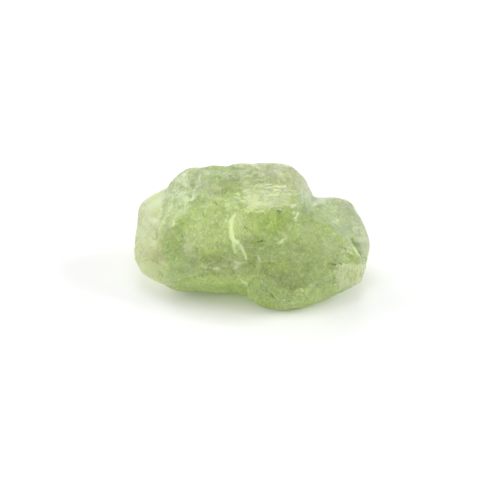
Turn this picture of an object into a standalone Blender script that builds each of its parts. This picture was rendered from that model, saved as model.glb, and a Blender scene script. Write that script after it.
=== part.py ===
"""Rough tsavorite garnet: one broken crystal lump, 14 mm long, lying on its flat underside.

The stone is one solid. It is the union of four lumps, each the convex hull of a few named
corners, with shell-shaped fracture scoops cut out of it. The union is remeshed, its edges are
worn round and its skin is roughened, and a last level cut gives it the facet that it lies on.

Axes: +X along the stone's length, towards its thin wing; -Y towards its scooped front;
+Z up. The origin is the middle of the bounding box's underside. The work is done in
millimetres, and the finished mesh is scaled to metres.
"""

import math

import bmesh
import bpy
from mathutils import Euler, Matrix, Vector

METRES_PER_MM = 0.001

# Overall size of the stone, in millimetres
LENGTH = 14.0
DEPTH = 8.55
HEIGHT = 6.45

# Surface treatment, in millimetres unless the name says otherwise
VOXEL = 0.13
WEAR_PASSES = 5
WEAR_SHARE = 0.5
SWELL_SIZE = 2.4
SWELL_HEIGHT = 0.30
PIT_SIZE = 0.75
PIT_HEIGHT = 0.16
TRIANGLES = 7600
SCOOP_DETAIL = 4
SHARP_ANGLE = math.radians(35)

# The facet that the stone lies on is cut at this height in the lumps' own millimetres
BASE_LEVEL = 0.0
CUTTER_SIDE = 30.0

# The stone's finish: frosted, see-through, pale yellow-green
SKIN_COLOUR = (0.47, 0.58, 0.22, 1.0)
SKIN_ROUGHNESS = 0.35
REFRACTION = 1.74
SEE_THROUGH = 0.8

# Corners of the main body: crown, sloping front, undercut lip, back and underside
MAIN_BODY = {
    "crown back left": (-3.7, 2.6, 5.85),
    "crown back notch": (-1.8, 2.6, 6.05),
    "crown back middle": (0.8, 2.3, 6.3),
    "crown back right": (2.4, 2.3, 6.1),
    "right shoulder": (3.2, 1.9, 5.55),
    "right shoulder low": (3.7, 1.7, 4.5),
    "left shoulder": (-4.6, 2.4, 5.2),
    "left shoulder low": (-5.0, 2.4, 4.3),
    "crown crease left": (-1.2, 0.7, 6.15),
    "crown crease right": (2.3, 0.5, 5.95),
    "crown front right": (2.6, -1.3, 5.3),
    "crown front middle": (-0.9, -1.5, 5.6),
    "crown front left": (-3.6, -0.9, 5.0),
    "flank upper": (-5.3, -0.9, 4.0),
    "flank middle": (-5.5, -1.7, 3.1),
    "flank foot": (-5.0, -2.2, 0.6),
    "lip left": (-4.6, -3.0, 1.8),
    "lip middle": (-1.6, -3.5, 2.5),
    "lip right": (0.4, -3.6, 2.5),
    "keel left": (-4.5, -2.3, 0.35),
    "keel middle": (-1.5, -2.7, 0.6),
    "back left high": (-4.0, 3.6, 3.9),
    "back middle high": (-0.6, 4.3, 4.0),
    "back right high": (2.9, 3.7, 3.8),
    "back left low": (-3.8, 3.3, 1.2),
    "back middle low": (0.0, 4.0, 0.9),
    "back right low": (3.3, 3.2, 1.0),
    "sole back left": (-2.6, 1.9, -0.1),
    "sole back right": (2.3, 2.0, -0.1),
    "sole front left": (-2.4, -1.2, -0.1),
    "sole front right": (2.3, -2.2, -0.1),
}

# Corners of the lobe that bulges forward on the right
FRONT_LOBE = {
    "top": (2.9, -0.9, 5.0),
    "ridge upper": (4.6, -0.9, 4.25),
    "ridge middle": (5.8, -1.8, 3.6),
    "ridge lower": (6.6, -2.4, 2.9),
    "saddle": (2.55, -1.7, 4.72),
    "inner upper": (1.9, -2.3, 4.15),
    "inner middle": (0.6, -3.3, 3.5),
    "inner low": (0.4, -3.6, 2.4),
    "inner foot": (-0.2, -3.1, 0.45),
    "brow": (5.1, -3.3, 2.9),
    "cheek": (4.7, -3.7, 1.4),
    "belly": (2.3, -4.5, 1.7),
    "chin left": (0.5, -3.4, 0.1),
    "chin middle": (1.9, -3.95, 0.05),
    "chin right": (3.2, -3.6, 0.1),
    "jaw": (4.6, -3.0, 0.35),
    "jaw outer": (5.8, -2.4, 0.8),
    "heel": (6.65, -2.2, 1.05),
    "back high": (3.5, 1.5, 4.3),
    "back low": (3.6, 1.5, 0.2),
    "sole left": (1.2, -2.7, -0.15),
    "sole right": (3.3, -2.4, -0.15),
}

# Corners of the thin wing behind the front lobe, at the right end
RIGHT_WING = {
    "rim inner": (3.6, 1.7, 4.3),
    "rim middle": (4.9, 1.65, 4.35),
    "rim outer": (5.95, 1.9, 4.05),
    "face edge high": (6.0, 0.8, 3.9),
    "face edge low": (6.5, -1.2, 3.1),
    "edge high": (6.5, 0.9, 3.45),
    "edge middle": (6.95, -0.2, 2.8),
    "edge low": (7.05, -0.7, 2.3),
    "edge foot": (6.7, -1.95, 1.3),
    "back high": (5.4, 2.9, 2.9),
    "back low": (4.9, 2.7, 1.0),
    "inner back low": (3.2, 3.1, 1.0),
    "foot": (6.1, 0.4, 0.9),
    "inner front": (2.6, -1.0, 4.8),
    "inner sole": (2.4, 0.0, 0.3),
    "inner back": (2.8, 3.6, 3.1),
}

# Corners of the pale end on the left
LEFT_END = {
    "rim outer": (-6.62, 1.45, 3.75),
    "rim middle": (-6.3, 1.8, 4.0),
    "rim inner": (-5.1, 2.4, 4.5),
    "edge middle": (-6.68, 0.2, 2.7),
    "edge low": (-6.88, -0.8, 1.75),
    "edge foot": (-6.65, -1.6, 1.45),
    "foot": (-6.35, -1.9, 1.25),
    "foot inner": (-5.6, -2.45, 1.1),
    "ridge upper": (-5.3, -0.8, 3.9),
    "ridge middle": (-5.5, -1.6, 3.0),
    "ridge foot": (-5.0, -2.6, 0.95),
    "back high": (-5.9, 3.0, 3.0),
    "back low": (-5.7, 2.4, 1.5),
    "inner front": (-3.4, -2.3, 2.6),
    "inner top": (-3.6, 0.4, 4.6),
    "inner sole": (-3.0, -0.6, 0.0),
    "inner back low": (-3.7, 3.2, 1.2),
    "inner back": (-3.9, 3.5, 3.8),
}

# Fracture scoops: centre, semi-axes, and turn in degrees of the ellipsoid that is cut away
SCOOPS = {
    "centre": ((0.65, -3.5, 5.5), (2.6, 2.2, 2.2), (0, 0, -8)),
    "left front": ((-3.3, -6.3, 6.3), (5.0, 5.0, 5.0), (0, 0, 0)),
    "left hollow": ((-4.35, -2.7, 4.7), (2.2, 1.5, 1.5), (0, -31, 22)),
    "low hollow": ((-2.3, -4.5, 4.5), (3.0, 2.5, 2.5), (0, 8, 0)),
    "back": ((-1.4, 8.8, 4.6), (4.6, 5.2, 3.6), (0, 0, 0)),
    "back left": ((-6.6, 8.0, 2.2), (4.6, 5.0, 4.4), (0, 0, 0)),
    "back right": ((4.2, 8.6, 1.4), (3.6, 5.6, 3.6), (0, 0, 0)),
    "right end": ((6.8, 2.6, 5.6), (2.2, 2.6, 2.0), (0, 0, 0)),
}


def clear_scene():
    """Remove every object that the file opened with."""
    for old in list(bpy.data.objects):
        bpy.data.objects.remove(old)


def new_collection(name):
    """Return a new collection, linked to the scene."""
    collection = bpy.data.collections.new(name)
    bpy.context.scene.collection.children.link(collection)
    return collection


def hull_object(name, corners, collection):
    """Return an object whose mesh is the convex hull of the named corners."""
    shape = bmesh.new()
    for place in corners.values():
        shape.verts.new(place)
    bmesh.ops.convex_hull(shape, input=shape.verts, use_existing_faces=False)
    loose = [vertex for vertex in shape.verts if not vertex.link_faces]
    bmesh.ops.delete(shape, geom=loose, context="VERTS")
    bmesh.ops.recalc_face_normals(shape, faces=shape.faces)
    return mesh_object(name, shape, collection)


def ellipsoid_object(name, centre, semi_axes, turn, collection):
    """Return an ellipsoid made from an icosphere, at its place and turn."""
    shape = bmesh.new()
    bmesh.ops.create_icosphere(shape, subdivisions=SCOOP_DETAIL, radius=1.0)
    angles = Euler([math.radians(angle) for angle in turn])
    shape.transform(Matrix.LocRotScale(Vector(centre), angles, Vector(semi_axes)))
    return mesh_object(name, shape, collection)


def box_object(name, lowest, highest, collection):
    """Return a closed box between two corners."""
    low, high = Vector(lowest), Vector(highest)
    shape = bmesh.new()
    bmesh.ops.create_cube(shape, size=1.0)
    shape.transform(Matrix.LocRotScale((low + high) / 2, None, high - low))
    return mesh_object(name, shape, collection)


def mesh_object(name, shape, collection):
    """Turn a bmesh into a linked object and free it."""
    mesh = bpy.data.meshes.new(name)
    shape.to_mesh(mesh)
    shape.free()
    made = bpy.data.objects.new(name, mesh)
    collection.objects.link(made)
    return made


def hide_cutter(cutter):
    """Show a cutter as wire only and keep it out of renders."""
    cutter.display_type = "WIRE"
    cutter.hide_render = True


def add_boolean(target, cutter, operation):
    """Join or cut the target with another object, by the exact solver."""
    boolean = target.modifiers.new(cutter.name, "BOOLEAN")
    boolean.operation = operation
    boolean.solver = "EXACT"
    boolean.object = cutter


def bake_modifiers(target):
    """Replace the object's mesh by its evaluated one and drop the modifiers."""
    depsgraph = bpy.context.evaluated_depsgraph_get()
    baked = bpy.data.meshes.new_from_object(target.evaluated_get(depsgraph))
    target.modifiers.clear()
    target.data = baked


def add_displace(target, name, kind, size, height):
    """Push the skin in and out by a noise texture of the given grain and height."""
    texture = bpy.data.textures.new(name, kind)
    texture.noise_scale = size
    displace = target.modifiers.new(name, "DISPLACE")
    displace.texture = texture
    displace.texture_coords = "LOCAL"
    displace.strength = height


def join_lumps(collection, cutters):
    """Join the four lumps and cut the fracture scoops out of them."""
    stone = hull_object("stone", MAIN_BODY, collection)
    lumps = {"front_lobe": FRONT_LOBE, "right_wing": RIGHT_WING, "left_end": LEFT_END}
    for name, corners in lumps.items():
        lump = hull_object(name, corners, cutters)
        hide_cutter(lump)
        add_boolean(stone, lump, "UNION")
    for name, (centre, semi_axes, turn) in SCOOPS.items():
        scoop = ellipsoid_object("scoop " + name, centre, semi_axes, turn, cutters)
        hide_cutter(scoop)
        add_boolean(stone, scoop, "DIFFERENCE")
    bake_modifiers(stone)
    return stone


def wear_skin(stone):
    """Remesh the stone, wear its edges round, roughen it, and thin its triangles out."""
    remesh = stone.modifiers.new("even skin", "REMESH")
    remesh.mode = "VOXEL"
    remesh.voxel_size = VOXEL
    smooth = stone.modifiers.new("worn edges", "SMOOTH")
    smooth.factor = WEAR_SHARE
    smooth.iterations = WEAR_PASSES
    add_displace(stone, "swells", "CLOUDS", SWELL_SIZE, SWELL_HEIGHT)
    add_displace(stone, "pits", "CLOUDS", PIT_SIZE, PIT_HEIGHT)
    triangulate = stone.modifiers.new("triangles", "TRIANGULATE")
    triangulate.quad_method = "SHORTEST_DIAGONAL"
    bake_modifiers(stone)
    decimate = stone.modifiers.new("fewer triangles", "DECIMATE")
    decimate.ratio = TRIANGLES / len(stone.data.polygons)
    bake_modifiers(stone)


def cut_base(stone, cutters):
    """Cut the level facet that the stone lies on."""
    side = CUTTER_SIDE / 2
    cutter = box_object("base cutter", (-side, -side, -side), (side, side, BASE_LEVEL), cutters)
    hide_cutter(cutter)
    add_boolean(stone, cutter, "DIFFERENCE")
    bake_modifiers(stone)


def set_size_and_place(stone):
    """Give the stone its overall size, put the origin under its middle, and go over to metres."""
    places = [vertex.co for vertex in stone.data.vertices]
    low = Vector([min(place[axis] for place in places) for axis in range(3)])
    high = Vector([max(place[axis] for place in places) for axis in range(3)])
    span = high - low
    foot = Vector(((low.x + high.x) / 2, (low.y + high.y) / 2, low.z))
    size = Vector((LENGTH / span.x, DEPTH / span.y, HEIGHT / span.z)) * METRES_PER_MM
    stone.data.transform(Matrix.LocRotScale(None, None, size) @ Matrix.Translation(-foot))


def shade(stone):
    """Shade the worn skin smooth and the base facet sharp."""
    stone.data.shade_smooth()
    stone.data.set_sharp_from_angle(angle=SHARP_ANGLE)


def garnet_material():
    """Return the stone's pale yellow-green, see-through material."""
    material = bpy.data.materials.new("tsavorite")
    material.use_nodes = True
    shader = material.node_tree.nodes["Principled BSDF"]
    shader.inputs["Base Color"].default_value = SKIN_COLOUR
    shader.inputs["Roughness"].default_value = SKIN_ROUGHNESS
    shader.inputs["Metallic"].default_value = 0.0
    shader.inputs["IOR"].default_value = REFRACTION
    shader.inputs["Transmission Weight"].default_value = SEE_THROUGH
    return material


def main():
    """Build the stone."""
    clear_scene()
    parts = new_collection("tsavorite garnet")
    cutters = new_collection("cutters")
    stone = join_lumps(parts, cutters)
    wear_skin(stone)
    cut_base(stone, cutters)
    set_size_and_place(stone)
    shade(stone)
    stone.data.materials.clear()
    stone.data.materials.append(garnet_material())


main()
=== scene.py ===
"""Dressed view of a rough tsavorite garnet: one frosted, see-through, yellow-green stone.

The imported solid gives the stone's form and size. Here its skin gets the fine relief that a broken and
worn crystal has, and a finish that lets light through, and it lies on a plain pale floor in soft light.
The stone is worked in millimetres and brought to metres at the end.
"""

import logging
import math
from dataclasses import dataclass
from enum import Enum

import bmesh
import bpy
import numpy as np
from mathutils import Matrix, Quaternion, Vector, noise
from mathutils.bvhtree import BVHTree


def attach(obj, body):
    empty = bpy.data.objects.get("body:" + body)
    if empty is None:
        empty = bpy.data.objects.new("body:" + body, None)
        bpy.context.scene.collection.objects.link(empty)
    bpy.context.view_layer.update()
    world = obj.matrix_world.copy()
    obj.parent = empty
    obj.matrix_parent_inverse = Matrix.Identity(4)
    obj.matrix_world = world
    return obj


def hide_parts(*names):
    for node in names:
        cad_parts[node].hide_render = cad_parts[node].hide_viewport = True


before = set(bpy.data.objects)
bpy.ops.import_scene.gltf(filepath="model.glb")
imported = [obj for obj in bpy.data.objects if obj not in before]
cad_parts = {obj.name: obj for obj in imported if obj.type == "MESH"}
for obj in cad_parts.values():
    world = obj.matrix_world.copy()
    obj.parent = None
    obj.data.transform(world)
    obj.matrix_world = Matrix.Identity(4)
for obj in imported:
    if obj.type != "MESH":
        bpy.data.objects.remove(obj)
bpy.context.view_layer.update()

MM = 0.001
Pixel = tuple[float, float]
Colour = tuple[float, float, float, float]
Range = tuple[float, float]
Socket = bpy.types.NodeSocket
BLACK = (0.0, 0.0, 0.0, 1.0)
WHITE = (1.0, 1.0, 1.0, 1.0)
log = logging.getLogger("tsavorite")


class Mark(Enum):
    """What a mark on the skin is. The value names the mesh attribute that holds it."""

    COOL = "cool"
    # pale tones, and painted light on the crown's top, by the crescent and along the undercut
    PALE_AND_PAINTED_LIGHT = "pale"
    # yellow-green tones, and painted glow on the undercut and the lobe's foot
    WARM_AND_PAINTED_GLOW = "warm"
    # deep green where the stone is thick, and painted shade in hollows and under the crown's edge
    DEEP_AND_PAINTED_SHADE = "deep"
    BLUSH = "blush"
    # frosting, and painted highlights and glow
    FROST_AND_PAINTED_HIGHLIGHTS = "frost_and_highlights"
    # dark specks, and a painted shadow line under the top break
    SPECK_AND_SHADOW_LINE = "speck"


class Profile(Enum):
    """How a crease stands on the skin: a ridge on both sides alike, or a step up to its left."""

    RIDGE = "ridge"
    STEP = "step"


class Sample(Enum):
    """Which noise is sampled on the skin. The value moves the noise, so that no two are alike."""

    LUMPS = 0.0
    WARP = 7.0
    EDGES = 20.0
    GRIT = 40.0
    FIELD = 90.0


@dataclass(frozen=True)
class Viewpoint:
    """The camera's place: how far above the floor it looks from, its lens, and the frame's scale."""

    elevation: float = math.radians(35.0)
    lens: float = 180.0
    sensor: float = 36.0
    frame_pixels: float = 500.0
    mm_per_pixel: float = 0.0601
    origin_pixel: Pixel = (251.7, 275.4)
    nearest: float = 1.0

    @property
    def back(self) -> Vector:
        """The direction from the stone to the camera."""
        return Vector((0.0, -math.cos(self.elevation), math.sin(self.elevation)))

    @property
    def up(self) -> Vector:
        """The frame's upward direction."""
        return Vector((0.0, math.sin(self.elevation), math.cos(self.elevation)))

    @property
    def place(self) -> Vector:
        """The camera's place, in millimetres."""
        middle = self.frame_pixels / 2
        distance = self.mm_per_pixel * self.frame_pixels * self.lens / self.sensor
        return self.behind((middle, middle)) + self.back * distance

    def behind(self, pixel: Pixel) -> Vector:
        """Find the point behind a pixel, on the plane through the origin that faces the camera.

        Args:
            pixel: Column and row in the frame.

        Returns:
            The point, in millimetres.
        """
        right = (pixel[0] - self.origin_pixel[0]) * self.mm_per_pixel
        above = (self.origin_pixel[1] - pixel[1]) * self.mm_per_pixel
        return Vector((right, 0.0, 0.0)) + self.up * above

    def pixels_of(self, places: np.ndarray) -> np.ndarray:
        """Find where places fall in the frame.

        Args:
            places: One row for each place, in millimetres.

        Returns:
            Column and row for each place.
        """
        away = places - np.array(self.place)
        scale = self.frame_pixels * self.lens / self.sensor / -(away @ np.array(self.back))
        middle = self.frame_pixels / 2
        return np.column_stack((middle + away[:, 0] * scale, middle - (away @ np.array(self.up)) * scale))

    def turn(self) -> Quaternion:
        """Return the camera's rotation."""
        return (-self.back).to_track_quat("-Z", "Y")

    def set_camera(self) -> bpy.types.Object:
        """Make the scene's camera.

        Returns:
            The camera object.
        """
        data = bpy.data.cameras.new("camera")
        data.lens = self.lens
        data.sensor_width = self.sensor
        data.clip_start = self.nearest * MM
        camera = bpy.data.objects.new("camera", data)
        bpy.context.scene.collection.objects.link(camera)
        camera.location = self.place * MM
        camera.rotation_mode = "QUATERNION"
        camera.rotation_quaternion = self.turn()
        bpy.context.scene.camera = camera
        return camera


@dataclass(frozen=True)
class SoftLight:
    """One square studio light that looks at the stone. Its place and side are in metres."""

    name: str
    place: tuple[float, float, float]
    side: float
    power: float

    def build(self) -> bpy.types.Object:
        """Make the light.

        Returns:
            The light object.
        """
        data = bpy.data.lights.new(self.name, "AREA")
        data.size = self.side
        data.energy = self.power
        light = bpy.data.objects.new(self.name, data)
        bpy.context.scene.collection.objects.link(light)
        light.location = self.place
        light.rotation_mode = "QUATERNION"
        light.rotation_quaternion = (-Vector(self.place)).to_track_quat("-Z", "Y")
        return light


@dataclass
class Studio:
    """The plain pale floor, the white surround and the lights."""

    floor_side: float = 3.0
    floor_colour: Colour = (0.93, 0.93, 0.93, 1.0)
    floor_roughness: float = 0.9
    floor_shine: float = 0.1
    surround: float = 0.40
    lights: tuple[SoftLight, ...] = (
        SoftLight("overhead light", (0.0, 0.0, 0.32), 0.15, 0.16),
        SoftLight("left light", (-0.28, 0.02, 0.14), 0.15, 0.29),
        SoftLight("left back light", (-0.20, 0.20, 0.16), 0.15, 0.33),
        SoftLight("right light", (0.28, 0.02, 0.14), 0.15, 0.68),
        SoftLight("back light", (0.0, 0.28, 0.14), 0.15, 0.24),
        SoftLight("front light", (-0.20, -0.20, 0.15), 0.15, 0.17),
    )

    def build(self) -> bpy.types.Object:
        """Make the floor, the surround and the lights.

        Returns:
            The floor.
        """
        shape = bmesh.new()
        bmesh.ops.create_grid(shape, x_segments=1, y_segments=1, size=self.floor_side / 2)
        mesh = bpy.data.meshes.new("floor")
        shape.to_mesh(mesh)
        shape.free()
        floor = bpy.data.objects.new("floor", mesh)
        bpy.context.scene.collection.objects.link(floor)
        material = bpy.data.materials.new("pale floor")
        material.use_nodes = True
        shader = material.node_tree.nodes["Principled BSDF"]
        shader.inputs["Base Color"].default_value = self.floor_colour
        shader.inputs["Roughness"].default_value = self.floor_roughness
        shader.inputs["Specular IOR Level"].default_value = self.floor_shine
        mesh.materials.append(material)
        world = bpy.data.worlds.new("white surround")
        world.use_nodes = True
        sky = world.node_tree.nodes["Background"]
        sky.inputs["Color"].default_value = WHITE
        sky.inputs["Strength"].default_value = self.surround
        bpy.context.scene.world = world
        for light in self.lights:
            light.build()
        return floor


@dataclass(frozen=True)
class Grain:
    """A noise pattern: its grain in millimetres, finer layers, twist, and stretch along each axis."""

    size: float
    detail: float = 2.0
    warp: float = 0.0
    stretch: tuple[float, float, float] = (1.0, 1.0, 1.0)


class Bench:
    """A new material with short ways to add the patterns of its finish."""

    def __init__(self, name: str) -> None:
        """Make the material.

        Args:
            name: The material's name.
        """
        self.material = bpy.data.materials.new(name)
        self.material.use_nodes = True
        self.nodes = self.material.node_tree.nodes
        self.shader = self.nodes["Principled BSDF"]
        self.output = self.nodes["Material Output"]
        self.place = self.add("ShaderNodeTexCoord").outputs["Object"]

    def add(self, kind: str, inputs: dict | None = None, **settings: object) -> bpy.types.Node:
        """Add a node.

        Args:
            kind: The node's type.
            inputs: A value, or a socket to link, for each input that is set.
            **settings: The node's own properties.

        Returns:
            The node.
        """
        node = self.nodes.new(kind)
        for name, value in settings.items():
            setattr(node, name, value)
        for name, value in (inputs or {}).items():
            self.feed(node.inputs[name], value)
        return node

    def feed(self, target: Socket, value: object) -> None:
        """Set an input to a plain value, or link a socket to it.

        Args:
            target: The input.
            value: The value or the socket.
        """
        if isinstance(value, Socket):
            self.material.node_tree.links.new(value, target)
        else:
            target.default_value = value

    def grain(self, grain: Grain) -> Socket:
        """Add a noise pattern.

        Args:
            grain: The pattern.

        Returns:
            The pattern's value.
        """
        scale = tuple(1 / (grain.size * MM * along) for along in grain.stretch)
        fitted = self.add("ShaderNodeMapping", {"Vector": self.place, "Scale": scale}).outputs["Vector"]
        inputs = {"Vector": fitted, "Scale": 1.0, "Detail": grain.detail, "Distortion": grain.warp}
        return self.add("ShaderNodeTexNoise", inputs).outputs["Fac"]

    def cells(self, size: float, feature: str) -> bpy.types.Node:
        """Add a pattern of cells, whose size is in millimetres, that measures the named feature."""
        inputs = {"Vector": self.place, "Scale": 1 / (size * MM)}
        return self.add("ShaderNodeTexVoronoi", inputs, feature=feature)

    def spread(self, value: Socket, source: Range, target: Range = (0.0, 1.0)) -> Socket:
        """Stretch a value from one range to another.

        Args:
            value: The value.
            source: The first range.
            target: The second range.

        Returns:
            The stretched value, kept inside the second range.
        """
        inputs = {"Value": value, "From Min": source[0], "From Max": source[1]}
        inputs |= {"To Min": target[0], "To Max": target[1]}
        return self.add("ShaderNodeMapRange", inputs).outputs["Result"]

    def sum(self, operation: str, first: object, second: object) -> Socket:
        """Combine two values or sockets by the sum that the operation names."""
        return self.add("ShaderNodeMath", {0: first, 1: second}, operation=operation).outputs["Value"]

    def mask(self, mark: Mark) -> Socket:
        """Read a mark's attribute from the mesh."""
        return self.add("ShaderNodeAttribute", attribute_name=mark.value).outputs["Fac"]

    def lay(self, under: object, tone: object, share: Socket) -> Socket:
        """Mix a tone over a colour.

        Args:
            under: The colour beneath.
            tone: The tone laid over it.
            share: How much of it shows.

        Returns:
            The mixed colour.
        """
        mix = self.add("ShaderNodeMix", data_type="RGBA")
        colours = [socket for socket in mix.inputs if socket.type == "RGBA"]
        self.feed(mix.inputs["Factor"], share)
        self.feed(colours[0], under)
        self.feed(colours[1], tone)
        return next(socket for socket in mix.outputs if socket.type == "RGBA")


@dataclass(frozen=True)
class Specks:
    """The dark specks, and a painted shadow line: thick where they are marked, and sparse dots elsewhere.
    In millimetres.
    """

    colour: Colour = (0.08, 0.11, 0.03, 1.0)
    pepper: Grain = Grain(0.06)
    broken: Range = (0.96, 1.18)
    strength: float = 0.85
    cell: float = 0.9
    rim: Range = (0.035, 0.075)
    dot_strength: float = 0.75
    chosen: Range = (0.50, 0.52)

    def mask(self, bench: Bench) -> Socket:
        """Scatter the specks.

        Args:
            bench: The material's bench.

        Returns:
            The specks' mask.
        """
        peppered = bench.sum("ADD", bench.mask(Mark.SPECK_AND_SHADOW_LINE), bench.grain(self.pepper))
        marked = bench.spread(peppered, self.broken, (0.0, self.strength))
        cells = bench.cells(self.cell, "F1")
        dots = bench.spread(cells.outputs["Distance"], self.rim, (self.dot_strength, 0.0))
        chosen = bench.spread(cells.outputs["Color"], self.chosen, (1.0, 0.0))
        return bench.sum("MAXIMUM", marked, bench.sum("MULTIPLY", dots, chosen))


@dataclass(frozen=True)
class FrostAndPaintedHighlights:
    """White frosting and painted highlights: marked bruised spots, which also give off a painted glow,
    thin crack lines and small pits. Sizes are in millimetres.
    """

    colour: Colour = (0.94, 1.0, 0.72, 1.0)
    # painted glow: light that the marked frosting and painted highlights give off, though no lamp is
    # there
    painted_glow: Colour = (0.23, 0.28, 0.15, 1.0)
    roughness: float = 0.62
    broken: Range = (0.95, 1.75)
    crack_cell: float = 2.3
    crack_rim: Range = (0.0, 0.022)
    crack_strength: float = 0.18
    crack_gaps: Grain = Grain(0.8)
    crack_left: Range = (0.48, 0.60)
    pit_cell: float = 1.3
    pit_rim: Range = (0.03, 0.07)
    pit_strength: float = 0.32

    def masks(self, bench: Bench, grain: Socket) -> tuple[Socket, Socket]:
        """Lay the frosting and the painted highlights.

        Args:
            bench: The material's bench.
            grain: The grain, which breaks the bruised spots and painted highlights up.

        Returns:
            The painted glow's mask, on the bruised spots and painted highlights, and the whole frosting's
            mask.
        """
        bruises_and_highlights = bench.spread(bench.sum("ADD", bench.mask(Mark.FROST_AND_PAINTED_HIGHLIGHTS), grain), self.broken)
        cracks = bench.cells(self.crack_cell, "DISTANCE_TO_EDGE").outputs["Distance"]
        thin = bench.spread(cracks, self.crack_rim, (self.crack_strength, 0.0))
        left = bench.spread(bench.grain(self.crack_gaps), self.crack_left)
        pits = bench.cells(self.pit_cell, "F1").outputs["Distance"]
        bright = bench.spread(pits, self.pit_rim, (self.pit_strength, 0.0))
        fine = bench.sum("MAXIMUM", bench.sum("MULTIPLY", thin, left), bright)
        return bruises_and_highlights, bench.sum("MAXIMUM", bruises_and_highlights, fine)


@dataclass(frozen=True)
class GarnetFinish:
    """The stone's finish: clear crystal with a frosted, patchy skin, whose marks also carry painted
    highlights, glow and shade. Sizes are in millimetres.
    """

    name: str = "frosted garnet"
    body: Colour = (0.72, 0.80, 0.40, 1.0)
    shade: Colour = (0.56, 0.67, 0.26, 1.0)
    tones: tuple[tuple[Mark, Colour], ...] = (
        (Mark.COOL, (0.81, 0.88, 0.74, 1.0)),
        # pale, also used for painted light
        (Mark.PALE_AND_PAINTED_LIGHT, (1.00, 0.99, 0.70, 1.0)),
        # yellow-green, also used for painted glow
        (Mark.WARM_AND_PAINTED_GLOW, (0.74, 0.88, 0.30, 1.0)),
        # deep green, also used for painted shade
        (Mark.DEEP_AND_PAINTED_SHADE, (0.47, 0.59, 0.09, 1.0)),
        (Mark.BLUSH, (0.97, 0.80, 0.52, 1.0)),
    )
    frost_and_highlights: FrostAndPaintedHighlights = FrostAndPaintedHighlights()
    specks: Specks = Specks()
    refraction: float = 1.74
    see_through: float = 0.68
    absorbed: Colour = (0.72, 0.85, 0.12, 1.0)
    absorption: float = 225.0
    glow: float = 1.0
    glow_reach: tuple[float, float, float] = (1.0, 1.0, 0.5)
    glow_size: float = 0.9
    bloom: float = 0.18
    bloom_roughness: float = 0.5
    clouds: Grain = Grain(1.5, 4.0, 0.6)
    cloud_edge: Range = (0.38, 0.60)
    mottle: Grain = Grain(0.42, 3.0, 0.8)
    grain: Grain = Grain(0.10)
    streaks: Grain = Grain(0.11, 2.0, 0.4, (1.0, 1.0, 5.0))
    granule: float = 0.15
    contrasts: tuple[float, float, float, float] = (0.14, 0.12, 0.12, 0.05)
    contrast_range: Range = (0.3, 0.7)
    granule_share: float = 0.6
    windows: Grain = Grain(1.1, 2.0, 1.0)
    window_edge: Range = (0.35, 0.60)
    roughness: Range = (0.32, 0.46)
    relief: float = 0.010
    streak_relief: float = 0.7

    def build(self) -> bpy.types.Material:
        """Make the material.

        Returns:
            The material.
        """
        bench = Bench(self.name)
        self.set_crystal(bench)
        mottle, grain, streaks = (bench.grain(each) for each in (self.mottle, self.grain, self.streaks))
        granules = bench.cells(self.granule, "F1").outputs["Color"]
        breaking = bench.sum("ADD", grain, bench.sum("MULTIPLY", granules, self.granule_share))
        painted_glow_share, frost_and_highlights = self.frost_and_highlights.masks(bench, breaking)
        cloudy = bench.spread(bench.grain(self.clouds), self.cloud_edge)
        colour = bench.lay(self.shade, self.body, cloudy)
        for mark, tone in self.tones:
            colour = bench.lay(colour, tone, bench.mask(mark))
        for pattern, strength in zip((mottle, grain, streaks, granules), self.contrasts):
            colour = self.shaded(bench, colour, pattern, strength)
        colour = bench.lay(colour, self.specks.colour, self.specks.mask(bench))
        # the frosting's pale colour, which also paints the highlights
        colour = bench.lay(colour, self.frost_and_highlights.colour, frost_and_highlights)
        bench.feed(bench.shader.inputs["Base Color"], colour)
        # painted glow: the marked frosting and painted highlights give off a little light
        bench.feed(bench.shader.inputs["Emission Color"], bench.lay(BLACK, self.frost_and_highlights.painted_glow, painted_glow_share))
        rough = bench.spread(bench.grain(self.windows), self.window_edge, self.roughness)
        frosted = bench.sum("MULTIPLY", frost_and_highlights, self.frost_and_highlights.roughness)
        bench.feed(bench.shader.inputs["Roughness"], bench.sum("MAXIMUM", rough, frosted))
        height = bench.sum("ADD", grain, bench.sum("MULTIPLY", streaks, self.streak_relief))
        bump = bench.add("ShaderNodeBump", {"Height": height, "Distance": self.relief * MM})
        bench.feed(bench.shader.inputs["Normal"], bump.outputs["Normal"])
        return bench.material

    def set_crystal(self, bench: Bench) -> None:
        """Set how the crystal bends, scatters and absorbs the light: plain values all over.

        Args:
            bench: The material's bench.
        """
        shader = bench.shader
        shader.inputs["IOR"].default_value = self.refraction
        shader.inputs["Transmission Weight"].default_value = self.see_through
        shader.inputs["Subsurface Weight"].default_value = self.glow
        shader.inputs["Subsurface Radius"].default_value = self.glow_reach
        shader.inputs["Subsurface Scale"].default_value = self.glow_size * MM
        shader.inputs["Sheen Weight"].default_value = self.bloom
        shader.inputs["Sheen Roughness"].default_value = self.bloom_roughness
        # full strength for the painted glow of the marked frosting and highlights
        shader.inputs["Emission Strength"].default_value = 1.0
        values = {"Color": self.absorbed, "Density": self.absorption}
        inside = bench.add("ShaderNodeVolumeAbsorption", values)
        bench.feed(bench.output.inputs["Volume"], inside.outputs["Volume"])

    def shaded(self, bench: Bench, colour: Socket, pattern: Socket, strength: float) -> Socket:
        """Lighten and darken a colour by a pattern.

        Args:
            bench: The material's bench.
            colour: The colour.
            pattern: The pattern's value.
            strength: How far it goes each way.

        Returns:
            The patterned colour.
        """
        share = bench.spread(pattern, self.contrast_range, (1 - strength, 1 + strength))
        node = bench.add("ShaderNodeVectorMath", {0: colour, "Scale": share}, operation="SCALE")
        return node.outputs["Vector"]


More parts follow.
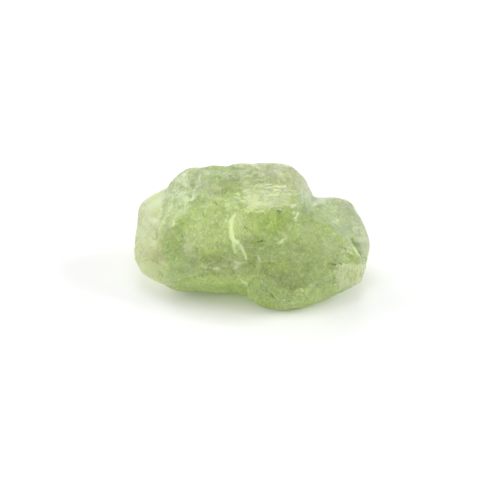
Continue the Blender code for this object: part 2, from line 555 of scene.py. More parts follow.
class Skin:
    """The stone's skin while it is worked: each vertex's place, normal and pixel. In millimetres."""

    def __init__(self, mesh: bpy.types.Mesh, view: Viewpoint) -> None:
        """Read the skin.

        Args:
            mesh: The stone's mesh.
            view: The camera's viewpoint, which places the marks.
        """
        self.mesh = mesh
        self.view = view
        self.edges = np.empty(len(mesh.edges) * 2, dtype=np.int64)
        mesh.edges.foreach_get("vertices", self.edges)
        self.edges = self.edges.reshape(-1, 2)
        self.read()

    def read(self) -> None:
        """Read the vertices."""
        self.places = self.rows("co")
        self.normals = self.rows("normal")
        self.pixels = self.view.pixels_of(self.places)
        faces = [face.vertices[:] for face in self.mesh.polygons]
        self.tree = BVHTree.FromPolygons([Vector(place) for place in self.places], faces)

    def rows(self, what: str) -> np.ndarray:
        """Read one vector for each vertex.

        Args:
            what: The vertices' property.

        Returns:
            One row for each vertex.
        """
        values = np.empty(len(self.mesh.vertices) * 3)
        self.mesh.vertices.foreach_get(what, values)
        return values.reshape(-1, 3)

    def move(self, places: np.ndarray) -> None:
        """Move the vertices and read them again.

        Args:
            places: One row for each vertex.
        """
        self.mesh.vertices.foreach_set("co", places.ravel())
        self.mesh.update()
        self.read()

    def under(self, pixel: Pixel) -> tuple[np.ndarray, np.ndarray]:
        """Find the skin under a pixel of the frame.

        Args:
            pixel: Column and row in the frame.

        Returns:
            The place and the normal there.
        """
        start = self.view.place
        place, normal, _, _ = self.tree.ray_cast(start, (self.view.behind(pixel) - start).normalized())
        if place is None:
            raise ValueError(f"no skin under pixel {pixel}")
        return np.array(place), np.array(normal)

    def texture(self, size: float, layers: int, sample: Sample) -> np.ndarray:
        """Sample a layered noise of this grain at each vertex, about -1 to 1."""
        scaled = self.places / size + sample.value
        return np.array([layered(place, layers) for place in scaled])

    def evened(self, values: np.ndarray, passes: int) -> np.ndarray:
        """Even out values over the skin.

        Args:
            values: One row for each vertex.
            passes: How many times each vertex takes half of its neighbours' mean.

        Returns:
            The evened values.
        """
        ends = np.concatenate((self.edges[:, 0], self.edges[:, 1]))
        others = np.concatenate((self.edges[:, 1], self.edges[:, 0]))
        count = np.bincount(ends, minlength=len(values))[:, None]
        table = values.reshape(len(values), -1)
        for _ in range(passes):
            sums = [np.bincount(ends, column[others], len(values)) for column in table.T]
            table = 0.5 * table + 0.5 * np.column_stack(sums) / count
        return table.reshape(values.shape)

    def standing_out(self, passes: int) -> np.ndarray:
        """Measure how far each vertex stands out of the evened skin, below zero in a hollow."""
        return np.einsum("ij,ij->i", self.places - self.evened(self.places, passes), self.normals)


class Route:
    """A line over the skin, through a few pixels of the frame."""

    def __init__(self, skin: Skin, pixels: tuple[Pixel, ...]) -> None:
        """Lay the line on the skin.

        Args:
            skin: The skin.
            pixels: Columns and rows in the frame.
        """
        hits = [skin.under(pixel) for pixel in pixels]
        self.points = [place for place, _ in hits]
        self.normals = [normal for _, normal in hits]

    def measure(self, places: np.ndarray) -> tuple[np.ndarray, np.ndarray, np.ndarray]:
        """Measure places against the line.

        Args:
            places: One row for each place.

        Returns:
            Each place's distance from the line, its share of the way along it, and how far left it is.
        """
        distance = np.full(len(places), np.inf)
        share = np.zeros(len(places))
        offset = np.zeros(len(places))
        lengths = [np.linalg.norm(b - a) for a, b in zip(self.points, self.points[1:])]
        passed = 0.0
        for start, end, normal, length in zip(self.points, self.points[1:], self.normals, lengths):
            along = (end - start) / length
            left = np.cross(normal, along)
            reach = np.clip((places - start) @ along, 0, length)
            gap = places - start - reach[:, None] * along
            far = np.linalg.norm(gap, axis=1)
            nearer = far < distance
            distance[nearer] = far[nearer]
            share[nearer] = (passed + reach[nearer]) / sum(lengths)
            offset[nearer] = gap[nearer] @ left
            passed += length
        return distance, share, offset


def eased(value: np.ndarray) -> np.ndarray:
    """Ease a value from 0 to 1 as it goes from 0 to 1."""
    held = np.clip(value, 0, 1)
    return held * held * (3 - 2 * held)


def layered(place: Vector | np.ndarray, layers: int) -> float:
    """Sample a noise whose layers are each half as large and half as high as the one before."""
    fall, finer = 1.0, 2.0
    return noise.fractal(place, fall, finer, layers)


@dataclass(frozen=True)
class Stroke:
    """A soft line on the skin, which may be thinner at its ends. Its width is in millimetres."""

    pixels: tuple[Pixel, ...]
    width: float
    strength: float
    soft: float
    taper: float = 0.0
    ragged: float = 0.35

    def cover(self, skin: Skin, ragged: np.ndarray) -> np.ndarray:
        """Find how strongly the stroke covers each vertex.

        Args:
            skin: The skin.
            ragged: Noise that breaks up the stroke's edge.

        Returns:
            One share for each vertex.
        """
        distance, share, _ = Route(skin, self.pixels).measure(skin.places)
        width = self.width * (1 - self.taper * np.abs(2 * share - 1) ** 2)
        return self.strength * eased((1 - distance / width + self.ragged * ragged) / self.soft)


@dataclass(frozen=True)
class Patch:
    """A patch of skin inside an outline of pixels. Its edge's softness and raggedness are in pixels."""

    outline: tuple[Pixel, ...]
    strength: float
    soft: float
    ragged: float = 3.0
    through: bool = False
    front: float = 0.35

    def cover(self, skin: Skin, ragged: np.ndarray) -> np.ndarray:
        """Find how strongly the patch covers each vertex.

        Args:
            skin: The skin.
            ragged: Noise that breaks up the patch's edge.

        Returns:
            One share for each vertex. A through patch goes round the stone, others stay on its front.
        """
        depth = self.depth(skin.pixels) + self.ragged * ragged
        cover = self.strength * eased(0.5 + depth / self.soft)
        if self.through:
            return cover
        facing = skin.normals @ np.array(skin.view.back)
        return cover * eased(facing / self.front)

    def depth(self, pixels: np.ndarray) -> np.ndarray:
        """Measure how deep pixels are inside the outline.

        Args:
            pixels: One row for each pixel.

        Returns:
            One depth for each pixel, below zero outside.
        """
        corners = np.array(self.outline)
        nearest = np.full(len(pixels), np.inf)
        inside = np.zeros(len(pixels), dtype=bool)
        for start, end in zip(corners, np.roll(corners, -1, axis=0)):
            along = end - start
            share = np.clip((pixels - start) @ along / (along @ along), 0, 1)
            nearest = np.minimum(nearest, np.linalg.norm(pixels - start - share[:, None] * along, axis=1))
            spans = (pixels[:, 1] < start[1]) != (pixels[:, 1] < end[1])
            rise = along[1] if along[1] else 1.0
            inside ^= spans & (pixels[:, 0] < start[0] + (pixels[:, 1] - start[1]) * along[0] / rise)
        return np.where(inside, nearest, -nearest)


@dataclass(frozen=True)
class Crease:
    """A ridge, groove or step along a line of pixels. Its height and width are in millimetres."""

    profile: Profile
    pixels: tuple[Pixel, ...]
    height: float
    width: float
    end_rise: float = 5.0
    reach: float = 4.0

    def lift(self, skin: Skin) -> np.ndarray:
        """Find how far the crease lifts each vertex.

        Args:
            skin: The skin.

        Returns:
            One height for each vertex.
        """
        distance, share, offset = Route(skin, self.pixels).measure(skin.places)
        ends = eased(self.end_rise * share) * eased(self.end_rise * (1 - share))
        if self.profile is Profile.RIDGE:
            return self.height * ends * np.exp(-((distance / self.width) ** 2))
        side = np.tanh(offset / self.width) * np.exp(-((distance / (self.reach * self.width)) ** 2))
        return self.height * ends * side


@dataclass(frozen=True)
class Shell:
    """A shallow shell-shaped break: a ball pressed into the skin. Sizes are in millimetres."""

    pixel: Pixel
    radius: float
    depth: float


@dataclass(frozen=True)
class Swell:
    """A soft swelling of the skin, or a hollow if its height is below zero. Sizes are in millimetres."""

    pixel: Pixel
    radius: float
    height: float

    def lift(self, skin: Skin) -> np.ndarray:
        """Find how far the swelling lifts each vertex.

        Args:
            skin: The skin.

        Returns:
            One height for each vertex.
        """
        spot, _ = skin.under(self.pixel)
        distance = np.linalg.norm(skin.places - spot, axis=1)
        return self.height * np.exp(-((distance / self.radius) ** 2))


@dataclass(frozen=True)
class Fibres:
    """A splintery patch of fine ridges side by side, whose tops are painted pale as highlights. Sizes are
    in millimetres.
    """

    area: Patch
    turn: float
    length: float
    width: float
    height: float
    layers: int = 3
    sharpness: float = 5.0
    least: float = 0.01

    def lines(self, skin: Skin, ragged: np.ndarray) -> np.ndarray:
        """Find how much of a ridge each vertex is.

        Args:
            skin: The skin.
            ragged: Noise that breaks up the patch's edge.

        Returns:
            One share for each vertex: 1 on a ridge's top, and 0 between ridges and outside the patch.
        """
        cover = self.area.cover(skin, ragged)
        turn = math.radians(self.turn)
        along = skin.pixels @ (math.cos(turn), -math.sin(turn)) * skin.view.mm_per_pixel / self.length
        across = skin.pixels @ (math.sin(turn), math.cos(turn)) * skin.view.mm_per_pixel / self.width
        lines = np.zeros(len(cover))
        for index in np.flatnonzero(cover > self.least):
            place = Vector((along[index], across[index], self.turn))
            lines[index] = 1 - self.sharpness * abs(layered(place, self.layers))
        return cover * np.clip(lines, 0, 1)


@dataclass(frozen=True)
class Surface:
    """What the photo shows on the stone's front, each thing placed by pixels.

    The relief is shell-shaped breaks, swellings, splintery patches and creases. Calm faces stay
    smoother. The marks are colour alone, grouped by tone, and some are painted highlights, glow and
    shade.
    """

    # where the ball goes in, its radius, and how deep
    shells: tuple[Shell, ...] = (
        Shell((184, 238), 2.4, 0.12),
        Shell((222, 256), 2.2, 0.14),
        Shell((190, 198), 0.55, 0.07),
        Shell((183, 188), 0.45, 0.06),
        Shell((272, 226), 1.8, 0.1),
        Shell((284, 276), 3.0, 0.1),
        Shell((348, 277), 1.6, 0.1),
        Shell((338, 214), 3.0, 0.07),
        Shell((206, 186), 3.5, 0.06),
        Shell((246, 286), 0.6, 0.09),
        Shell((262, 196), 2.0, 0.06),
        Shell((150, 222), 1.8, 0.06),
    )
    # the top of each, its radius, and how high
    swells: tuple[Swell, ...] = (
        Swell((292, 174), 1.2, 0.14),
        Swell((304, 198), 0.9, 0.14),
        Swell((340, 203), 1.2, 0.14),
        Swell((356, 222), 1.0, 0.14),
        Swell((276, 167), 0.9, 0.08),
        Swell((309, 192), 0.7, 0.08),
        Swell((152, 197), 1.0, 0.08),
        Swell((358, 243), 0.55, 0.15),
        Swell((350, 236), 0.45, 0.06),
        Swell((354, 280), 0.8, 0.18),
        Swell((180, 176), 0.8, 0.08),
    )
    # the area, then the ridges' turn in degrees, length, width and height
    fibres: tuple[Fibres, ...] = (
        Fibres(Patch(((236, 184), (262, 179), (288, 181), (296, 192), (284, 206), (262, 212),
                      (240, 212)), 0.88, 12.0, 6.0), 3.0, 1.1, 0.2, 0.045),
        Fibres(Patch(((246, 163), (290, 163), (298, 178), (292, 184), (284, 180), (250, 178)),
                      0.7, 8.0, 5.0), -12.0, 0.6, 0.22, 0.03),
        Fibres(Patch(((180, 206), (240, 204), (236, 226), (178, 232)), 0.5, 10.0, 6.0),
                      12.0, 1.4, 0.24, 0.025),
        Fibres(Patch(((164, 225), (225, 220), (236, 246), (205, 262), (168, 266)), 0.4, 12.0, 6.0),
                      38.0, 1.6, 0.28, 0.03),
        Fibres(Patch(((198, 252), (250, 254), (254, 268), (196, 270)), 0.38, 8.0, 6.0),
                      14.0, 0.5, 0.2, 0.03),
        Fibres(Patch(((262, 240), (345, 236), (350, 262), (330, 300), (290, 302), (266, 280)),
                      0.28, 14.0, 6.0), 74.0, 1.5, 0.22, 0.02),
        Fibres(Patch(((332, 262), (366, 262), (362, 288), (334, 292)), 0.6, 6.0, 3.0),
                      86.0, 0.7, 0.2, 0.03),
        Fibres(Patch(((172, 172), (222, 164), (226, 200), (184, 214), (170, 206)), 0.45, 10.0, 6.0),
                      80.0, 0.9, 0.3, 0.025),
        Fibres(Patch(((134, 196), (166, 186), (164, 270), (134, 270)), 0.35, 10.0, 6.0),
                      60.0, 0.8, 0.26, 0.025),
    )
    # how each stands, its line, its height and its width
    creases: tuple[Crease, ...] = (
        Crease(Profile.STEP, ((246, 213), (262, 213), (278, 211), (290, 207), (302, 206)), 0.06, 0.1),
        Crease(Profile.STEP, ((246, 256), (241, 247), (236, 242), (232, 238), (230, 229), (231, 221),
                               (235, 213)), 0.05, 0.09),
        Crease(Profile.RIDGE, ((233, 243), (235, 253)), 0.03, 0.07),
        Crease(Profile.RIDGE, ((299, 224), (286, 238), (263, 255)), 0.045, 0.12),
        Crease(Profile.STEP, ((346, 238), (336, 229), (322, 217), (308, 208)), 0.022, 0.12),
        Crease(Profile.RIDGE, ((328, 267), (345, 264), (363, 261)), -0.05, 0.1),
        Crease(Profile.STEP, ((172, 284), (188, 276), (205, 271), (235, 271), (260, 268)), 0.11, 0.1),
        Crease(Profile.RIDGE, ((190, 256), (202, 242), (215, 228)), 0.06, 0.45),
        Crease(Profile.RIDGE, ((336, 266), (334, 276), (335, 287)), -0.035, 0.08),
        Crease(Profile.RIDGE, ((268, 290), (276, 297), (286, 302)), -0.05, 0.1),
        Crease(Profile.RIDGE, ((160, 245), (168, 234), (178, 220)), 0.03, 0.2),
    )
    # the wing, the undercut and the lobe's right part
    calm: tuple[Patch, ...] = (
        Patch(((312, 190), (330, 185), (380, 190), (380, 264), (362, 258), (350, 243), (336, 229),
               (322, 217), (312, 210)), 1.0, 6.0, 0.0, True),
        Patch(((174, 288), (190, 279), (205, 274), (258, 272), (262, 284), (245, 298), (180, 298)),
               1.0, 4.0, 0.0),
        Patch(((318, 232), (335, 236), (360, 258), (345, 264), (325, 258)), 0.8, 8.0, 0.0),
    )
    # patches: outline, strength, softness, raggedness, and whether they go round the stone
    # strokes: line, width, strength, softness, and how far they thin out
    marks: tuple[tuple[Mark, tuple[Patch | Stroke, ...]], ...] = (
        # the thin wing, the crown's left shoulder and its right edge
        (Mark.COOL, (
            Patch(((308, 190), (330, 185), (380, 190), (380, 264), (362, 258), (350, 243), (336, 229),
                   (322, 217), (308, 208)), 0.62, 3.0, 1.5, True),
            Patch(((172, 182), (182, 168), (222, 160), (214, 190), (196, 206), (170, 212)),
                   0.12, 16.0, 9.0),
            Patch(((285, 160), (300, 165), (322, 200), (310, 212), (300, 196), (292, 178)),
                   0.8, 9.0, 4.0),
        )),
        # the left end, the top break, the scoop by the bright crescent, the jaw and other faces; painted
        # light on the crown's top, a painted halo by the crescent, and painted bounced light along the
        # undercut
        (Mark.PALE_AND_PAINTED_LIGHT, (
            Patch(((120, 175), (170, 180), (162, 205), (158, 225), (157, 245), (162, 262), (173, 288),
                   (120, 300)), 0.92, 16.0, 7.0, True),
            Patch(((244, 186), (262, 183), (286, 184), (290, 196), (280, 206), (262, 210), (248, 210),
                   (246, 202)), 0.9, 10.0, 6.0),
            Patch(((274, 160), (300, 166), (308, 190), (296, 192), (288, 180), (258, 176), (256, 162)),
                   0.9, 10.0, 5.0),
            Patch(((204, 180), (220, 178), (222, 198), (206, 200)), 0.42, 10.0, 5.0),
            Patch(((236, 213), (250, 216), (259, 228), (256, 242), (243, 242), (236, 234), (233, 224)),
                   0.66, 8.0, 2.0),
            Patch(((170, 232), (198, 218), (232, 214), (228, 238), (200, 262), (174, 262)),
                   0.26, 16.0, 6.0),
            Patch(((262, 248), (290, 238), (308, 262), (300, 282), (268, 280)), 0.16, 16.0, 6.0),
            Patch(((200, 248), (232, 242), (248, 262), (244, 271), (202, 271)), 0.46, 8.0, 4.0),
            Patch(((278, 220), (294, 222), (294, 246), (280, 244)), 0.42, 8.0, 3.0),
            Patch(((254, 226), (268, 238), (280, 244), (278, 252), (262, 252)), 0.34, 8.0, 3.0),
            Patch(((322, 240), (337, 244), (336, 264), (324, 262)), 0.42, 8.0, 3.0),
            Patch(((184, 240), (200, 236), (203, 256), (188, 262)), 0.45, 8.0, 4.0),
            # painted light on the crown's top, where the light from above falls
            Patch(((240, 172), (262, 172), (262, 185), (242, 187)), 0.42, 8.0, 4.0),
            Patch(((180, 170), (198, 164), (201, 180), (186, 182)), 0.25, 8.0, 4.0),
            Patch(((226, 180), (246, 179), (248, 194), (230, 196)), 0.16, 8.0, 4.0),
            Patch(((264, 174), (290, 176), (296, 186), (266, 185)), 0.42, 8.0, 4.0),
            Patch(((352, 238), (368, 236), (370, 258), (363, 257)), 0.35, 5.0, 1.0),
            Patch(((334, 198), (350, 200), (349, 209), (336, 208)), 0.4, 5.0, 2.0),
            Patch(((347, 208), (358, 210), (366, 234), (350, 230)), 0.22, 6.0, 2.0),
            # painted light: the undercut's foot, lit by light bounced up from the floor
            Patch(((160, 278), (182, 286), (238, 286), (250, 291), (246, 300), (160, 296)),
                   0.55, 5.0, 1.0),
            Patch(((284, 226), (304, 222), (334, 236), (338, 262), (334, 288), (300, 294), (290, 262)),
                   0.2, 16.0, 6.0),
            # painted light along the undercut's upper edge
            Patch(((204, 272), (260, 270), (258, 277), (206, 279)), 0.3, 4.0, 2.0),
            Patch(((186, 258), (196, 240), (210, 224), (222, 226), (214, 240), (200, 262)),
                   0.28, 10.0, 4.0),
            Patch(((335, 267), (368, 262), (368, 284), (350, 290), (336, 288)), 0.8, 4.0),
            Patch(((350, 203), (362, 215), (372, 245), (368, 280), (360, 270), (362, 245), (352, 220)),
                   0.18, 6.0),
            # painted highlight: the soft halo beside the bright crescent
            Stroke(((237, 214), (236, 224), (237, 236)), 0.4, 0.9, 1.3, 0.4),
        )),
        # the body's low middle, the low left, the undercut, the lobe's foot and the scoop; on the
        # undercut and the lobe's foot it is painted glow of light through the stone and off the floor
        (Mark.WARM_AND_PAINTED_GLOW, (
            Patch(((198, 250), (250, 241), (290, 246), (290, 275), (262, 272), (200, 271)),
                   0.66, 10.0, 4.0),
            Patch(((134, 244), (164, 240), (178, 262), (174, 292), (150, 288), (132, 266)),
                   0.25, 12.0, 6.0, True),
            Patch(((200, 252), (244, 256), (250, 243), (262, 243), (264, 268), (202, 271)),
                   0.62, 8.0, 3.0),
            # painted glow on the undercut, light bounced up from the floor
            Patch(((174, 285), (190, 275), (205, 272), (258, 270), (262, 284), (245, 298), (180, 298)),
                   0.8, 3.0, 1.0),
            # painted glow at the lobe's foot, light passed through the stone
            Patch(((296, 288), (345, 286), (325, 312), (290, 315)), 0.6, 12.0),
            Patch(((246, 214), (262, 214), (262, 240), (240, 238)), 0.25, 8.0),
        )),
        # where the stone is thick, round the specks, and painted shade under the crown's overhanging
        # front edge
        (Mark.DEEP_AND_PAINTED_SHADE, (
            Patch(((200, 158), (240, 158), (238, 177), (216, 174), (202, 170)), 0.85, 6.0, 3.0),
            Patch(((154, 212), (162, 204), (178, 202), (184, 218), (198, 218), (196, 234), (164, 226)),
                   0.26, 8.0, 4.0),
            Patch(((342, 242), (352, 246), (356, 258), (344, 262), (339, 254)), 0.14, 8.0, 3.0),
            Patch(((260, 256), (272, 256), (274, 282), (284, 300), (272, 310), (258, 302)),
                   0.36, 8.0, 4.0),
            Patch(((222, 164), (241, 164), (236, 188), (230, 212), (208, 215), (218, 192)),
                   0.26, 10.0, 6.0),
            # painted shade below the crown's overhanging front edge
            Patch(((264, 214), (282, 213), (288, 222), (280, 234), (268, 236)), 0.72, 10.0),
            Patch(((262, 252), (282, 250), (302, 262), (305, 285), (285, 300), (264, 295)), 0.12, 14.0),
            Patch(((200, 248), (232, 240), (246, 262), (240, 271), (200, 271)), 0.12, 8.0),
            Patch(((166, 246), (180, 226), (192, 224), (190, 240), (176, 262), (168, 262)), 0.1, 10.0),
            Stroke(((228, 176), (233, 178)), 0.36, 0.6, 1.2),
            Stroke(((252, 242), (263, 241)), 0.36, 0.5, 1.2),
            # painted shadow line under the crown's overhanging front edge
            Stroke(((262, 214), (290, 212)), 0.26, 0.6, 1.2),
            Stroke(((213, 201), (218, 205)), 0.26, 0.5, 1.2),
            Stroke(((330, 264), (343, 264)), 0.3, 0.5, 1.2),
            Stroke(((334, 231), (348, 243)), 0.3, 0.55, 1.2),
        )),
        # the left end
        (Mark.BLUSH, (
            Patch(((142, 236), (160, 238), (163, 260), (148, 272), (140, 256)), 0.55, 10.0, 9.0),
            Patch(((152, 190), (164, 186), (162, 200), (152, 202)), 0.3, 8.0, 4.0),
        )),
        # the scoop, the left end, the crown's edges and the jaw, frosted and brightened with painted
        # glow, then the bright crescent and the small breaks, painted as highlights
        (Mark.FROST_AND_PAINTED_HIGHLIGHTS, (
            Patch(((240, 218), (249, 220), (252, 240), (244, 242), (239, 232)), 0.16, 5.0, 2.0),
            Patch(((142, 198), (152, 190), (166, 188), (164, 206), (148, 214)), 0.74, 12.0, 5.0),
            Patch(((136, 214), (146, 206), (150, 225), (146, 255), (134, 258)), 0.3, 8.0, 4.0),
            Patch(((140, 256), (158, 262), (170, 284), (150, 290), (134, 270)), 0.42, 14.0, 8.0),
            Patch(((172, 180), (192, 174), (196, 194), (184, 200), (172, 196)), 0.24, 12.0, 8.0),
            Patch(((288, 162), (302, 166), (318, 198), (308, 206), (300, 192)), 0.24, 8.0, 4.0),
            Patch(((338, 266), (368, 262), (368, 284), (350, 290), (338, 288)), 0.24, 6.0, 3.0),
            # painted highlight: the bright crescent on the fracture's edge
            Stroke(((236, 212), (233, 217), (231, 224), (231, 230)), 0.15, 1.5, 1.1, 0.8),
            Stroke(((232, 218), (231, 228), (232, 236), (235, 243)), 0.34, 1.35, 1.3, 0.6),
            Stroke(((232, 237), (235, 241), (238, 242), (241, 246), (245, 254)), 0.2, 1.1, 1.2, 0.6),
            Stroke(((233, 243), (235, 253)), 0.09, 0.9, 1.0, 0.6),
            Stroke(((186, 198), (192, 199)), 0.34, 0.75, 1.2),
            Stroke(((182, 180), (186, 186)), 0.3, 0.65, 1.2),
            Stroke(((183, 175), (186, 174)), 0.1, 1.3, 1.0),
            # painted highlights: small flecks on the top break
            Stroke(((254, 188), (258, 184), (262, 185)), 0.1, 1.2, 1.0, 0.5),
            Stroke(((274, 185), (281, 187), (286, 187)), 0.13, 1.4, 1.0, 0.5),
            Stroke(((268, 192), (272, 195)), 0.13, 1.5, 1.0, 0.3),
            Stroke(((274, 191), (277, 190)), 0.09, 1.2, 1.0),
            Stroke(((242, 196), (252, 198)), 0.08, 1.1, 1.0, 0.4),
            Stroke(((252, 205), (257, 208)), 0.09, 1.2, 1.0, 0.4),
            Stroke(((245, 210), (249, 212)), 0.11, 1.2, 1.0, 0.4),
            Stroke(((256, 212), (264, 210)), 0.08, 1.2, 1.0, 0.4),
            Stroke(((248, 200), (258, 204), (270, 203)), 0.32, 0.75, 1.3, 0.5),
            Stroke(((257, 167), (260, 169)), 0.09, 1.2, 1.0),
            Stroke(((274, 170), (279, 174)), 0.09, 1.2, 1.0),
            Stroke(((262, 173), (265, 178)), 0.08, 1.0, 1.0),
            Stroke(((245, 254), (246, 259)), 0.09, 1.1, 1.0),
            Stroke(((258, 257), (260, 260)), 0.08, 1.0, 1.0),
            Stroke(((209, 264), (216, 261)), 0.08, 0.9, 1.0),
            Stroke(((214, 269), (220, 268)), 0.1, 0.9, 1.0),
            Stroke(((299, 224), (286, 238), (264, 254)), 0.14, 0.6, 1.2, 0.5),
            # painted highlight in the notch above the lobe's foot
            Stroke(((241, 279), (246, 284), (248, 292)), 0.26, 0.95, 1.3, 0.5),
            Stroke(((242, 281), (247, 283)), 0.12, 1.4, 1.0),
            Stroke(((150, 239), (154, 244)), 0.28, 0.55, 0.9),
            Stroke(((203, 268), (222, 266), (244, 262)), 0.1, 0.45, 0.9),
            Stroke(((173, 221), (174, 224)), 0.11, 1.1, 1.0),
            Stroke(((301, 289), (303, 291)), 0.1, 1.2, 1.0),
            Stroke(((284, 300), (294, 304)), 0.1, 0.7, 0.6),
            Stroke(((329, 201), (331, 204)), 0.1, 0.7, 0.6),
            Stroke(((353, 220), (358, 234)), 0.12, 0.5, 0.8, 0.6),
            Stroke(((276, 170), (284, 176)), 0.14, 0.5, 0.8, 0.4),
            Stroke(((256, 166), (260, 170)), 0.1, 0.45, 0.8),
        )),
        # the dark specks, and the dark line under the top break, a painted shadow of its overhanging edge
        (Mark.SPECK_AND_SHADOW_LINE, (
            Stroke(((229, 176), (233, 178)), 0.24, 0.66, 1.0),
            Stroke(((278, 211), (281, 211)), 0.18, 0.9, 1.0),
            Stroke(((280, 208), (280, 213)), 0.12, 0.85, 1.0),
            # painted shadow under the top break's overhanging edge
            Stroke(((252, 214), (268, 214), (290, 212)), 0.13, 0.45, 1.0),
            Stroke(((215, 202), (217, 205)), 0.2, 0.62, 1.0),
            Stroke(((250, 243), (255, 243)), 0.15, 0.7, 1.2),
            Stroke(((258, 242), (262, 241)), 0.15, 0.75, 1.2),
            Stroke(((250, 264), (255, 266)), 0.3, 0.5, 1.0),
            Stroke(((222, 268), (232, 268)), 0.24, 0.5, 1.0),
            Stroke(((333, 264), (336, 265)), 0.18, 0.82, 1.0),
            Stroke(((340, 263), (341, 265)), 0.16, 0.82, 1.0),
            Stroke(((266, 290), (273, 297)), 0.26, 0.62, 1.0),
            Stroke(((301, 209), (308, 211)), 0.22, 0.45, 1.0),
            Stroke(((345, 248), (346, 250)), 0.12, 0.6, 0.9),
            Stroke(((194, 228), (196, 231)), 0.14, 0.64, 1.0),
            Stroke(((245, 227), (247, 229)), 0.09, 0.8, 0.8),
            Stroke(((144, 248), (156, 262)), 0.5, 0.38, 1.0),
            Stroke(((351, 209), (351, 217)), 0.14, 0.42, 1.0),
            Stroke(((335, 268), (335, 284)), 0.12, 0.58, 1.0),
        )),
    )


@dataclass(frozen=True)
class Flats:
    """A batch of shallow shell-shaped breaks, spread at random. Sizes are in millimetres."""

    count: int
    radius: float
    depth: float


@dataclass(frozen=True)
class Coarseness:
    """The skin's soft lumps, and its fine grit, which comes and goes. Sizes are in millimetres."""

    layers: int = 3
    lump_size: float = 1.3
    lump_height: float = 0.040
    calm_loss: float = 0.6
    grit_size: float = 0.36
    grit_height: float = 0.018
    grit_sharpness: float = 2.2
    field_size: float = 2.6
    field_mean: float = 0.55
    field_swing: float = 1.4
    field_least: float = 0.2

    def lift(self, skin: Skin, calm: np.ndarray) -> np.ndarray:
        """Find how far the lumps and the grit lift each vertex.

        Args:
            skin: The skin.
            calm: How smooth each vertex is kept.

        Returns:
            One height for each vertex.
        """
        lumps = skin.texture(self.lump_size, self.layers, Sample.LUMPS)
        grit = 1 - self.grit_sharpness * np.abs(skin.texture(self.grit_size, self.layers, Sample.GRIT))
        swing = self.field_swing * skin.texture(self.field_size, 1, Sample.FIELD)
        rough = np.clip(self.field_mean + swing, self.field_least, 1.0)
        return self.lump_height * (1 - self.calm_loss * calm) * lumps + self.grit_height * rough * grit


@dataclass(frozen=True)
class WearAndHollowShade:
    """How pale the skin's worn edges are, and how dark its hollows are painted as shade. The depth is in
    millimetres.
    """

    passes: int = 14
    depth: float = 0.05
    pale: float = 0.45
    # how strongly the hollows are darkened as painted shade
    deep: float = 0.28
    calm_loss: float = 0.7

    def masks(self, skin: Skin, calm: np.ndarray) -> dict[Mark, np.ndarray]:
        """Find the worn edges, and the hollows that get painted shade.

        Args:
            skin: The skin.
            calm: How smooth each vertex is kept.

        Returns:
            The share of each tone at each vertex.
        """
        standing = skin.standing_out(self.passes) / self.depth
        worn = 1 - self.calm_loss * calm
        return {
            Mark.PALE_AND_PAINTED_LIGHT: self.pale * worn * eased(standing),
            Mark.DEEP_AND_PAINTED_SHADE: self.deep * worn * eased(-standing),
        }


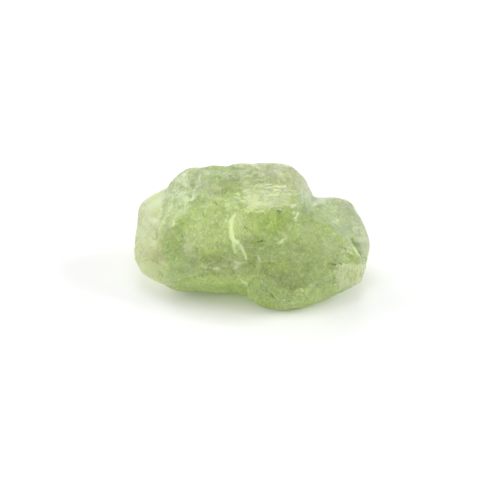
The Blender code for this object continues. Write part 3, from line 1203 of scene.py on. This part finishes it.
@dataclass
class Stone:
    """The stone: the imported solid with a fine, broken skin. Sizes are in millimetres."""

    view: Viewpoint
    node: str = "stone"
    slot: str = "garnet"
    weld: float = 0.001
    voxel: float = 0.066
    wear_passes: int = 3
    wear_factor: float = 0.5
    flats: tuple[Flats, ...] = (Flats(170, 3.5, 0.060), Flats(500, 2.6, 0.024))
    flat_spread: float = 0.45
    flat_tilt: float = 0.22
    flat_wear: int = 1
    calm_limit: float = 0.5
    bite_reach: float = 1.25
    splinter_warp: float = 1.1
    edge_break: float = 0.6
    noise_layers: int = 3
    foot_height: float = 0.02
    seed: int = 11
    surface: Surface = Surface()
    coarseness: Coarseness = Coarseness()
    wear_and_hollow_shade: WearAndHollowShade = WearAndHollowShade()
    finish: GarnetFinish = GarnetFinish()

    def build(self) -> bpy.types.Object:
        """Make the stone's mesh and finish it.

        Returns:
            The stone.
        """
        stone = self.even_skin()
        skin = Skin(stone.data, self.view)
        foot = skin.places[:, 2] < self.foot_height
        resting = skin.places[foot]
        swelling = sum(swell.lift(skin) for swell in self.surface.swells)
        skin.move(skin.places + skin.normals * swelling[:, None])
        self.break_flats(skin)
        splinter_highlights = self.crease(skin)
        coarse = self.coarseness.lift(skin, self.calm(skin))
        skin.move(skin.places + skin.normals * coarse[:, None])
        places = skin.places.copy()
        places[:, 2] = np.maximum(places[:, 2], 0.0)
        places[foot] = resting
        skin.move(places)
        self.paint(skin, splinter_highlights)
        self.dress(stone)
        return stone

    def even_skin(self) -> bpy.types.Object:
        """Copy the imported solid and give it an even, fine mesh.

        Returns:
            The new object, in millimetres.
        """
        shape = bmesh.new()
        shape.from_mesh(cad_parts[self.node].data)
        bmesh.ops.remove_doubles(shape, verts=shape.verts, dist=self.weld * MM)
        shape.transform(Matrix.Scale(1 / MM, 4))
        mesh = bpy.data.meshes.new("garnet")
        shape.to_mesh(mesh)
        shape.free()
        stone = bpy.data.objects.new("garnet", mesh)
        bpy.context.scene.collection.objects.link(stone)
        remesh = stone.modifiers.new("even skin", "REMESH")
        remesh.mode = "VOXEL"
        remesh.voxel_size = self.voxel
        smooth = stone.modifiers.new("worn edges", "SMOOTH")
        smooth.factor = self.wear_factor
        smooth.iterations = self.wear_passes
        finished = stone.evaluated_get(bpy.context.evaluated_depsgraph_get())
        baked = bpy.data.meshes.new_from_object(finished)
        stone.modifiers.clear()
        stone.data = baked
        bpy.data.meshes.remove(mesh)
        return stone

    def break_flats(self, skin: Skin) -> None:
        """Press the shell-shaped breaks in: the named ones, then many shallow ones all over.

        Args:
            skin: The stone's skin.
        """
        places = skin.places.copy()
        for shell in self.surface.shells:
            spot, normal = skin.under(shell.pixel)
            self.press(places, spot, normal, shell.radius, shell.depth)
        dice = np.random.default_rng(self.seed)
        calm = self.calm(skin)
        for flats in self.flats:
            for index in dice.choice(len(places), flats.count, replace=False):
                share = dice.uniform(1 - self.flat_spread, 1 + self.flat_spread, 2)
                sizes = share * (flats.radius, flats.depth)
                tilt = skin.normals[index] + dice.normal(0.0, self.flat_tilt, 3)
                if calm[index] < self.calm_limit:
                    self.press(places, places[index], tilt / np.linalg.norm(tilt), *sizes)
        skin.move(skin.evened(places, self.flat_wear))

    def calm(self, skin: Skin) -> np.ndarray:
        """Find how smooth each vertex is kept: 1 on a face that stays smooth."""
        even = np.zeros(len(skin.places))
        return np.max([face.cover(skin, even) for face in self.surface.calm], axis=0)

    def press(
        self, places: np.ndarray, spot: np.ndarray, normal: np.ndarray, radius: float, depth: float
    ) -> None:
        """Push the places inside a ball out to its surface, unless the ball would bite a neighbour.

        Args:
            places: One row for each place, changed here.
            spot: Where the ball enters.
            normal: The direction it comes from.
            radius: The ball's radius.
            depth: How deep it goes.
        """
        centre = spot + normal * (radius - depth)
        away = places - centre
        distance = np.linalg.norm(away, axis=1)
        inside = np.flatnonzero(distance < radius)
        reach = self.bite_reach * math.sqrt(2 * radius * depth)
        if len(inside) and np.linalg.norm(places[inside] - spot, axis=1).max() < reach:
            places[inside] += away[inside] * (radius / distance[inside] - 1)[:, None]

    def crease(self, skin: Skin) -> np.ndarray:
        """Raise the creases, and the ridges of the splintery breaks.

        Args:
            skin: The stone's skin.

        Returns:
            How pale the ridge tops' painted highlights make each vertex.
        """
        height = sum(crease.lift(skin) for crease in self.surface.creases)
        warp = skin.texture(self.splinter_warp, self.noise_layers, Sample.WARP)
        splinter_highlights = np.zeros(len(height))
        for fibres in self.surface.fibres:
            lines = fibres.lines(skin, warp)
            height += fibres.height * lines
            splinter_highlights = np.maximum(splinter_highlights, fibres.area.strength * lines)
        skin.move(skin.places + skin.normals * height[:, None])
        return splinter_highlights

    def paint(self, skin: Skin, splinter_highlights: np.ndarray) -> None:
        """Write the marks to the mesh's attributes, with worn edges pale and painted shade in the
        hollows.

        Args:
            skin: The stone's skin.
            splinter_highlights: How pale the ridge tops' painted highlights make each vertex.
        """
        ragged = skin.texture(self.edge_break, self.noise_layers, Sample.EDGES)
        masks = {mark: np.zeros(len(skin.places)) for mark in Mark}
        masks |= self.wear_and_hollow_shade.masks(skin, self.calm(skin))
        # the ridge tops' painted highlights join the frosting mark
        masks[Mark.FROST_AND_PAINTED_HIGHLIGHTS] = splinter_highlights
        for mark, items in self.surface.marks:
            for item in items:
                masks[mark] = np.maximum(masks[mark], item.cover(skin, ragged))
        for mark, values in masks.items():
            layer = skin.mesh.attributes.new(mark.value, "FLOAT", "POINT")
            layer.data.foreach_set("value", np.clip(values, 0, 1))

    def dress(self, stone: bpy.types.Object) -> None:
        """Bring the stone to metres, shade it and give it its finish.

        Args:
            stone: The stone, in millimetres.
        """
        stone.data.transform(Matrix.Scale(MM, 4))
        stone.data.name = "garnet"
        stone.data.shade_smooth()
        stone.data.materials.clear()
        stone.data.materials.append(self.finish.build())
        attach(stone, "root")
        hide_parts(self.node)


def main() -> None:
    """Build the view, piece by piece."""
    logging.basicConfig(level=logging.INFO, format="%(message)s")
    view = Viewpoint()
    view.set_camera()
    log.info("camera")
    Studio().build()
    log.info("floor, surround and lights")
    stone = Stone(view).build()
    log.info("%s: %d faces", stone.name, len(stone.data.polygons))
    bpy.context.scene.view_settings.view_transform = "Standard"


if __name__ == "__main__":
    main()
